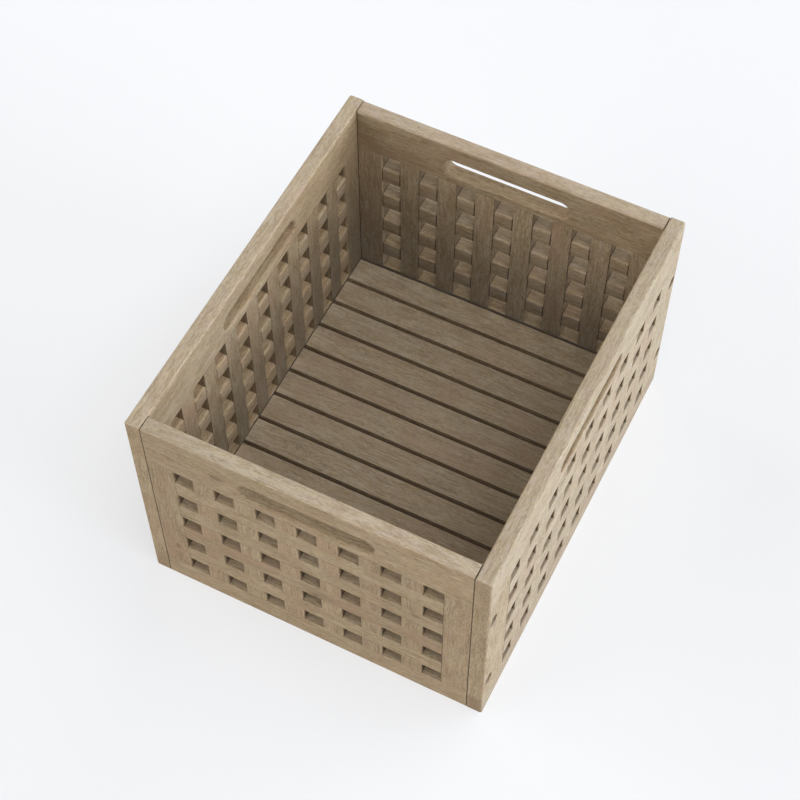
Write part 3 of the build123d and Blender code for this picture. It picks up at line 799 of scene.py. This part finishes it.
def metal_material(name, base, roughness, brushed_along):
    """Brushed metal: a fine noise drawn out along one axis varies its roughness and height."""
    material = bpy.data.materials.new(name)
    material.use_nodes = True
    shader = material.node_tree.nodes["Principled BSDF"]
    g = Graph(material.node_tree)
    place = g.node("ShaderNodeTexCoord").outputs["Object"]
    lines = g.noise(g.vector("MULTIPLY", place, brushed_along), 3.0, 0.6)
    stains = g.noise(g.vector("MULTIPLY", place, METAL_STAINS), 2.0)
    tint = g.mix(g.smooth(stains, 0.35, 0.75), colour(base), colour([part * 0.72 for part in base]))
    g.feed(shader.inputs["Base Color"], tint)
    g.feed(shader.inputs["Roughness"], g.smooth(lines, 0.2, 0.8, roughness - 0.06, roughness + 0.12))
    bump = g.node("ShaderNodeBump", {"Strength": 0.35, "Distance": 0.00005, "Height": lines})
    g.feed(shader.inputs["Normal"], bump.outputs[0])
    shader.inputs["Metallic"].default_value = 1.0
    return material


class TEAKBIN_OT_top_rails(bpy.types.Operator):
    """Finishes the four top rails, whose hand slots show the grain running through."""

    bl_idname = "teak_bin.top_rails"
    bl_label = "Top rails"

    def execute(self, context):
        for panel in PANELS:
            along, through = panel_axes(panel)
            wood_material(context, panel + "_top_rail", along, through)
        return {"FINISHED"}


class TEAKBIN_OT_bottom_rails(bpy.types.Operator):
    """Finishes the four bottom rails that the bin stands on."""

    bl_idname = "teak_bin.bottom_rails"
    bl_label = "Bottom rails"

    def execute(self, context):
        width = slat_width()
        for panel in PANELS:
            along, through = panel_axes(panel)
            wood_material(context, panel + "_bottom_rail", along, through, crossed_by=(panel, width))
        return {"FINISHED"}


class TEAKBIN_OT_stiles(bpy.types.Operator):
    """Finishes the two stiles at the ends of each panel, with upright grain."""

    bl_idname = "teak_bin.stiles"
    bl_label = "Stiles"

    def execute(self, context):
        for panel in PANELS:
            for end in PANEL_ENDS[panel]:
                wood_material(context, panel + "_" + end + "_stile", ALONG_Z, panel_axes(panel)[1])
        return {"FINISHED"}


class TEAKBIN_OT_cross_slats(bpy.types.Operator):
    """Finishes the cross slats on the outside of the lattice."""

    bl_idname = "teak_bin.cross_slats"
    bl_label = "Cross slats"

    def execute(self, context):
        width = slat_width()
        for panel in PANELS:
            along, through = panel_axes(panel)
            for number in range(1, CROSS_SLATS + 1):
                name = "{}_cross_slat_{}".format(panel, number)
                wood_material(context, name, along, through, shoulder=CROSS_SLAT_TENON,
                              crossed_by=(panel, width))
        return {"FINISHED"}


class TEAKBIN_OT_upright_slats(bpy.types.Operator):
    """Finishes the upright slats on the inside of the lattice, each cut from another place."""

    bl_idname = "teak_bin.upright_slats"
    bl_label = "Upright slats"

    def execute(self, context):
        width = slat_width()
        for panel in PANELS:
            along, through = panel_axes(panel)
            inner_side = 1 if panel in ("front", "left") else -1
            wood_material(context, panel + "_upright_slats", ALONG_Z, through,
                          shoulder=UPRIGHT_SLAT_TENON, inner_side=inner_side,
                          bars=UPRIGHT_SLATS[panel], row=along, bar_width=width)
        return {"FINISHED"}


class TEAKBIN_OT_floor_slats(bpy.types.Operator):
    """Finishes the slats of the floor."""

    bl_idname = "teak_bin.floor_slats"
    bl_label = "Floor slats"

    def execute(self, context):
        for number in range(1, FLOOR_SLATS + 1):
            wood_material(context, "floor_slat_{:02d}".format(number), ALONG_X, ALONG_Z)
        return {"FINISHED"}


class TEAKBIN_OT_floor_cleats(bpy.types.Operator):
    """Finishes the two cleats under the floor."""

    bl_idname = "teak_bin.floor_cleats"
    bl_label = "Floor cleats"

    def execute(self, context):
        for side in ("left", "right"):
            wood_material(context, side + "_floor_cleat", ALONG_Y, ALONG_X)
        return {"FINISHED"}


class TEAKBIN_OT_dowels(bpy.types.Operator):
    """Finishes the dowels that line up the rail ends, in plain hardwood."""

    bl_idname = "teak_bin.dowels"
    bl_label = "Dowels"

    def execute(self, context):
        base = context.scene.teak_bin_fittings.dowel_colour
        material = bpy.data.materials.new("dowel_wood")
        material.use_nodes = True
        shader = material.node_tree.nodes["Principled BSDF"]
        g = Graph(material.node_tree)
        place = g.node("ShaderNodeTexCoord").outputs["Object"]
        fibres = g.noise(g.vector("MULTIPLY", place, DOWEL_FIBRES), 3.0, 0.6)
        tint = g.mix(g.smooth(fibres, 0.3, 0.7), colour(base), colour([part * 0.7 for part in base]))
        g.feed(shader.inputs["Base Color"], tint)
        g.feed(shader.inputs["Roughness"], g.smooth(fibres, 0.3, 0.7, 0.6, 0.75))
        bump = g.node("ShaderNodeBump", {"Strength": 0.5, "Distance": 0.0001, "Height": fibres})
        g.feed(shader.inputs["Normal"], bump.outputs[0])
        dress("corner_dowels", material)
        return {"FINISHED"}


class TEAKBIN_OT_corner_fittings(bpy.types.Operator):
    """Finishes the corner bolts in stainless steel and their threaded inserts in brass."""

    bl_idname = "teak_bin.corner_fittings"
    bl_label = "Corner bolts and inserts"

    def execute(self, context):
        fittings = context.scene.teak_bin_fittings
        steel = metal_material("stainless_bolt", fittings.steel_colour, 0.34, BOLT_LINES)
        brass = metal_material("turned_brass", fittings.brass_colour, 0.3, INSERT_LINES)
        dress("corner_bolts", steel)
        dress("threaded_inserts", brass)
        return {"FINISHED"}


class TEAKBIN_OT_wood_screws(bpy.types.Operator):
    """Finishes the screws of the cleats and of the floor slats in stainless steel."""

    bl_idname = "teak_bin.wood_screws"
    bl_label = "Wood screws"

    def execute(self, context):
        base = context.scene.teak_bin_fittings.steel_colour
        steel = metal_material("stainless_screw", base, 0.38, SCREW_LINES)
        dress("cleat_screws", steel)
        dress("floor_slat_screws", steel)
        return {"FINISHED"}


def seen_directly(g):
    """One where a ray from the camera, a mirror or a window meets the surface, and nought elsewhere."""
    path = g.node("ShaderNodeLightPath").outputs
    seen = g.math("MAXIMUM", path["Is Camera Ray"], path["Is Glossy Ray"])
    return g.math("MAXIMUM", seen, path["Is Transmission Ray"])


def lay_floor(context, stage):
    """The pale floor. What is seen of it is part lit floor, which keeps the shadow, and part plain white."""
    half = stage.floor_size / 2
    mesh = bpy.data.meshes.new("studio_floor")
    corners = [(-half, -half, 0), (half, -half, 0), (half, half, 0), (-half, half, 0)]
    mesh.from_pydata(corners, [], [(0, 1, 2, 3)])
    floor = bpy.data.objects.new("studio_floor", mesh)
    context.scene.collection.objects.link(floor)
    material = bpy.data.materials.new("pale_floor")
    material.use_nodes = True
    tree = material.node_tree
    shader = tree.nodes["Principled BSDF"]
    shader.inputs["Base Color"].default_value = colour(stage.floor_colour)
    shader.inputs["Roughness"].default_value = 0.9
    shader.inputs["Specular IOR Level"].default_value = 0.0
    g = Graph(tree)
    glow = g.node("ShaderNodeEmission", {"Color": colour(FLOOR_GLOW_COLOUR), "Strength": 1.0})
    share = g.math("MULTIPLY", seen_directly(g), stage.floor_glow)
    both = g.node("ShaderNodeMixShader", (share, shader.outputs[0], glow.outputs[0]))
    g.feed(tree.nodes["Material Output"].inputs["Surface"], both.outputs[0])
    mesh.materials.append(material)


def hang_lights(context, stage):
    """Eight soft lights all round the bin, the strongest low on its right."""
    for name, ((compass, height), strength, tint) in LIGHTS.items():
        data = bpy.data.lights.new(name, "SUN")
        data.angle = stage.light_softness
        data.energy = strength * math.pi * stage.light_level
        data.color = tint
        light = bpy.data.objects.new(name, data)
        context.scene.collection.objects.link(light)
        turn, lift = math.radians(compass), math.radians(height)
        level = math.cos(lift)
        towards = Vector((math.cos(turn) * level, math.sin(turn) * level, math.sin(lift)))
        aim = towards.to_track_quat("Z", "Y").to_matrix().to_4x4()
        light.matrix_world = Matrix.Translation(towards * LIGHT_DISTANCE) @ aim


def light_world(context):
    """A world that is seen as pale grey-white and gives only a trace of light."""
    world = bpy.data.worlds.new("studio_world")
    world.use_nodes = True
    tree = world.node_tree
    g = Graph(tree)
    background = tree.nodes["Background"]
    seen = g.mix(seen_directly(g), colour(WORLD_LIGHT), colour(WORLD_SEEN))
    g.feed(background.inputs["Color"], seen)
    background.inputs["Strength"].default_value = 1.0
    context.scene.world = world


def place_camera(context, stage):
    """The camera at the angle of the photograph."""
    data = bpy.data.cameras.new("bin_camera")
    data.sensor_width = 36.0
    data.lens = stage.focal_length
    camera = bpy.data.objects.new("bin_camera", data)
    context.scene.collection.objects.link(camera)
    place = Vector(stage.camera_place)
    turn = (Vector(stage.camera_target) - place).to_track_quat("-Z", "Y").to_matrix().to_4x4()
    camera.matrix_world = Matrix.Translation(place) @ turn @ Matrix.Rotation(stage.camera_roll, 4, "Z")
    context.scene.camera = camera


class TEAKBIN_OT_stage(bpy.types.Operator):
    """Lays the pale floor, hangs the soft lights and sets up the camera."""

    bl_idname = "teak_bin.stage"
    bl_label = "Stage"

    def execute(self, context):
        stage = context.scene.teak_bin_stage
        lay_floor(context, stage)
        hang_lights(context, stage)
        light_world(context)
        place_camera(context, stage)
        context.scene.view_settings.view_transform = "Standard"
        return {"FINISHED"}


class TEAKBIN_PT_sidebar(bpy.types.Panel):
    """Lists the steps and the values of the teak bin."""

    bl_idname = "TEAKBIN_PT_sidebar"
    bl_label = "Teak Bin"
    bl_space_type = "VIEW_3D"
    bl_region_type = "UI"
    bl_category = "Teak Bin"

    def draw(self, context):
        for operator in OPERATORS:
            self.layout.operator(operator.bl_idname)
        for group_name in PROPERTY_GROUPS:
            group = getattr(context.scene, group_name)
            box = self.layout.box()
            for name in group.__annotations__:
                box.prop(group, name)


PROPERTY_GROUPS = {
    "teak_bin_wood": TeakBinWood,
    "teak_bin_fittings": TeakBinFittings,
    "teak_bin_stage": TeakBinStage,
}

OPERATORS = (
    TEAKBIN_OT_top_rails,
    TEAKBIN_OT_bottom_rails,
    TEAKBIN_OT_stiles,
    TEAKBIN_OT_cross_slats,
    TEAKBIN_OT_upright_slats,
    TEAKBIN_OT_floor_slats,
    TEAKBIN_OT_floor_cleats,
    TEAKBIN_OT_dowels,
    TEAKBIN_OT_corner_fittings,
    TEAKBIN_OT_wood_screws,
    TEAKBIN_OT_stage,
)


def register():
    for cls in (*PROPERTY_GROUPS.values(), *OPERATORS, TEAKBIN_PT_sidebar):
        bpy.utils.register_class(cls)
    for name, cls in PROPERTY_GROUPS.items():
        setattr(bpy.types.Scene, name, bpy.props.PointerProperty(type=cls))


def unregister():
    for name in PROPERTY_GROUPS:
        delattr(bpy.types.Scene, name)
    for cls in reversed((*PROPERTY_GROUPS.values(), *OPERATORS, TEAKBIN_PT_sidebar)):
        bpy.utils.unregister_class(cls)


def main():
    register()
    bpy.ops.teak_bin.top_rails()
    bpy.ops.teak_bin.bottom_rails()
    bpy.ops.teak_bin.stiles()
    bpy.ops.teak_bin.cross_slats()
    bpy.ops.teak_bin.upright_slats()
    bpy.ops.teak_bin.floor_slats()
    bpy.ops.teak_bin.floor_cleats()
    bpy.ops.teak_bin.dowels()
    bpy.ops.teak_bin.corner_fittings()
    bpy.ops.teak_bin.wood_screws()
    bpy.ops.teak_bin.stage()


if __name__ == "__main__":
    main()
